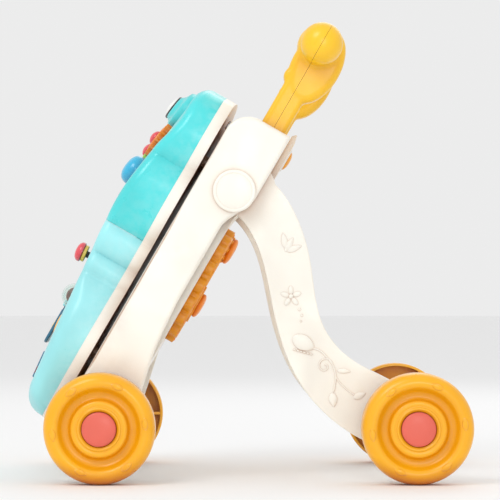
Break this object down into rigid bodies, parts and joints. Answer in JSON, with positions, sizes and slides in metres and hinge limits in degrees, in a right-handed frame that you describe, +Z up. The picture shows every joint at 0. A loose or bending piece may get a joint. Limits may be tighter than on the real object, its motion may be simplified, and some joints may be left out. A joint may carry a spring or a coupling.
{
  "type": "baby walker",
  "caption": "Push-along baby walker with a leaning frame, wheels, a grip bar, folding rear legs and a lift-off play panel.",
  "frame": {"origin": "on the floor under the middle of the walker's footprint", "axes": "+X to the rear, where the child stands; +Y to the walker's right; +Z up"},
  "size_m": [0.4526, 0.38, 0.4688],
  "materials": {
    "cream_plastic": "moulded",
    "turquoise_plastic": "moulded",
    "aqua_plastic": "moulded",
    "yellow_plastic": "moulded",
    "handle_plastic": "moulded",
    "coral_plastic": "moulded",
    "amber_plastic": "moulded",
    "orange_plastic": "moulded",
    "green_plastic": "moulded",
    "lime_plastic": "moulded",
    "blue_plastic": "moulded",
    "red_plastic": "moulded",
    "steel_blue_plastic": "moulded",
    "mint_clear": "plain",
    "white_plastic": "moulded",
    "black_plastic": "moulded",
    "bare_steel": "plain",
    "board_green": "plain",
    "battery_wrap": "plain",
    "maroon_plastic": "moulded"
  },
  "bodies": {
    "frame": {"left_side_frame": "cream_plastic", "right_side_frame": "cream_plastic", "front_cover": "cream_plastic", "rear_cover": "cream_plastic", "frame_screws": "bare_steel", "front_axle": "bare_steel", "front_axle_nuts": "bare_steel", "pivot_pins": "bare_steel", "pivot_caps": "cream_plastic", "handle_front_shell": "handle_plastic", "handle_rear_shell": "handle_plastic", "rear_play_plate": "amber_plastic"},
    "rear_legs": {"left_leg_outer_shell": "cream_plastic", "left_leg_inner_shell": "cream_plastic", "right_leg_outer_shell": "cream_plastic", "right_leg_inner_shell": "cream_plastic", "leg_crossbar": "cream_plastic", "leg_screws": "bare_steel", "rear_axle_pins": "bare_steel", "rear_axle_nuts": "bare_steel"},
    "play_panel": {"panel_base": "cream_plastic", "panel_upper_shell": "turquoise_plastic", "panel_lower_shell": "aqua_plastic", "panel_screws": "bare_steel", "circuit_board": "board_green", "speaker": "black_plastic", "batteries": "battery_wrap", "battery_door": "cream_plastic", "lamp_lens": "white_plastic", "gear_caps": "red_plastic", "drum_window": "mint_clear", "flap_pin": "bare_steel"},
    "release": {"release_button": "yellow_plastic"},
    "spinner_upper": {"upper_spinner": "orange_plastic"},
    "spinner_lower": {"lower_spinner": "orange_plastic"},
    "gear_green": {"green_gear": "green_plastic"},
    "gear_lime": {"lime_gear": "lime_plastic"},
    "gear_orange": {"orange_gear": "orange_plastic"},
    "button_blue": {"blue_button": "blue_plastic"},
    "button_red": {"red_button": "red_plastic"},
    "button_yellow": {"yellow_button": "yellow_plastic"},
    "lever": {"lever_stem": "black_plastic", "lever_collar": "yellow_plastic", "lever_knob": "red_plastic"},
    "drum": {"tumbling_drum": "red_plastic"},
    "flap": {"flap_door": "steel_blue_plastic"},
    "switch": {"power_switch": "maroon_plastic"},
    "front_left_roller": {"front_left_wheel": "yellow_plastic", "front_left_hub_cap": "coral_plastic"},
    "front_right_roller": {"front_right_wheel": "yellow_plastic", "front_right_hub_cap": "coral_plastic"},
    "rear_left_roller": {"rear_left_wheel": "yellow_plastic", "rear_left_hub_cap": "coral_plastic"},
    "rear_right_roller": {"rear_right_wheel": "yellow_plastic", "rear_right_hub_cap": "coral_plastic"},
    "key_1": {"piano_key_1": "white_plastic"},
    "key_2": {"piano_key_2": "white_plastic"},
    "key_3": {"piano_key_3": "white_plastic"},
    "key_4": {"piano_key_4": "white_plastic"},
    "key_5": {"piano_key_5": "white_plastic"}
  },
  "joints": [
    {"name": "leg_fold", "type": "hinge", "parent": "frame", "child": "rear_legs", "pos_m": [-0.0153, 0, 0.29726], "axis": [0, 1, 0], "range_deg": [0, 42]},
    {"name": "panel_lift", "type": "slide", "parent": "frame", "child": "play_panel", "axis": [-0.866, 0, 0.5], "range_m": [0, 0.08]},
    {"name": "release_press", "type": "slide", "parent": "frame", "child": "release", "axis": [-0.866, 0, 0.5], "range_m": [0, 0.002], "stiffness_N_per_m": 400},
    {"name": "upper_spinner_spin", "type": "hinge", "parent": "frame", "child": "spinner_upper", "pos_m": [-0.02335, 0, 0.24012], "axis": [0.866, 0, -0.5], "continuous": true},
    {"name": "lower_spinner_spin", "type": "hinge", "parent": "frame", "child": "spinner_lower", "pos_m": [-0.05685, 0, 0.1821], "axis": [0.866, 0, -0.5], "continuous": true},
    {"name": "front_left_spin", "type": "hinge", "parent": "frame", "child": "front_left_roller", "pos_m": [-0.1513, 0, 0.0565], "axis": [0, 1, 0], "continuous": true},
    {"name": "front_right_spin", "type": "hinge", "parent": "frame", "child": "front_right_roller", "pos_m": [-0.1513, 0, 0.0565], "axis": [0, 1, 0], "continuous": true},
    {"name": "rear_left_spin", "type": "hinge", "parent": "rear_legs", "child": "rear_left_roller", "pos_m": [0.1698, 0, 0.0565], "axis": [0, 1, 0], "continuous": true},
    {"name": "rear_right_spin", "type": "hinge", "parent": "rear_legs", "child": "rear_right_roller", "pos_m": [0.1698, 0, 0.0565], "axis": [0, 1, 0], "continuous": true},
    {"name": "lime_gear_spin", "type": "hinge", "parent": "play_panel", "child": "gear_lime", "pos_m": [-0.10248, 0, 0.34304], "axis": [-0.787, 0, 0.6169], "continuous": true},
    {"name": "green_gear_spin", "type": "hinge", "parent": "play_panel", "child": "gear_green", "pos_m": [-0.09376, 0.0364, 0.35417], "axis": [-0.787, 0, 0.6169], "continuous": true},
    {"name": "orange_gear_spin", "type": "hinge", "parent": "play_panel", "child": "gear_orange", "pos_m": [-0.09376, -0.0364, 0.35417], "axis": [-0.787, 0, 0.6169], "continuous": true},
    {"name": "blue_button_press", "type": "slide", "parent": "play_panel", "child": "button_blue", "axis": [0.787, 0, -0.6169], "range_m": [0, 0.003], "stiffness_N_per_m": 400},
    {"name": "red_button_press", "type": "slide", "parent": "play_panel", "child": "button_red", "axis": [0.787, 0, -0.6169], "range_m": [0, 0.003], "stiffness_N_per_m": 400},
    {"name": "yellow_button_press", "type": "slide", "parent": "play_panel", "child": "button_yellow", "axis": [0.9101, 0, -0.4145], "range_m": [0, 0.003], "stiffness_N_per_m": 400},
    {"name": "key_1_press", "type": "slide", "parent": "play_panel", "child": "key_1", "axis": [0.9101, 0, -0.4145], "range_m": [0, 0.003], "stiffness_N_per_m": 400},
    {"name": "key_2_press", "type": "slide", "parent": "play_panel", "child": "key_2", "axis": [0.9101, 0, -0.4145], "range_m": [0, 0.003], "stiffness_N_per_m": 400},
    {"name": "key_3_press", "type": "slide", "parent": "play_panel", "child": "key_3", "axis": [0.9101, 0, -0.4145], "range_m": [0, 0.003], "stiffness_N_per_m": 400},
    {"name": "key_4_press", "type": "slide", "parent": "play_panel", "child": "key_4", "axis": [0.9101, 0, -0.4145], "range_m": [0, 0.003], "stiffness_N_per_m": 400},
    {"name": "key_5_press", "type": "slide", "parent": "play_panel", "child": "key_5", "axis": [0.9101, 0, -0.4145], "range_m": [0, 0.003], "stiffness_N_per_m": 400},
    {"name": "lever_tilt", "type": "hinge", "parent": "play_panel", "child": "lever", "pos_m": [-0.154, -0.072, 0.22682], "axis": [0, 1, 0], "range_deg": [-15, 15], "stiffness_Nm_per_rad": 0.15},
    {"name": "drum_spin", "type": "hinge", "parent": "play_panel", "child": "drum", "pos_m": [-0.18138, -0.052, 0.18962], "axis": [0, 1, 0], "continuous": true},
    {"name": "flap_swing", "type": "hinge", "parent": "play_panel", "child": "flap", "pos_m": [-0.19677, 0.066, 0.18117], "axis": [0, 1, 0], "range_deg": [0, 110]},
    {"name": "power_switch_slide", "type": "slide", "parent": "play_panel", "child": "switch", "axis": [0, 1, 0], "range_m": [-0.005, 0.005]}
  ],
  "couplings": [
    {"joint": "green_gear_spin", "follows": "lime_gear_spin", "ratio": -1.1667},
    {"joint": "orange_gear_spin", "follows": "lime_gear_spin", "ratio": -1.1667}
  ]
}
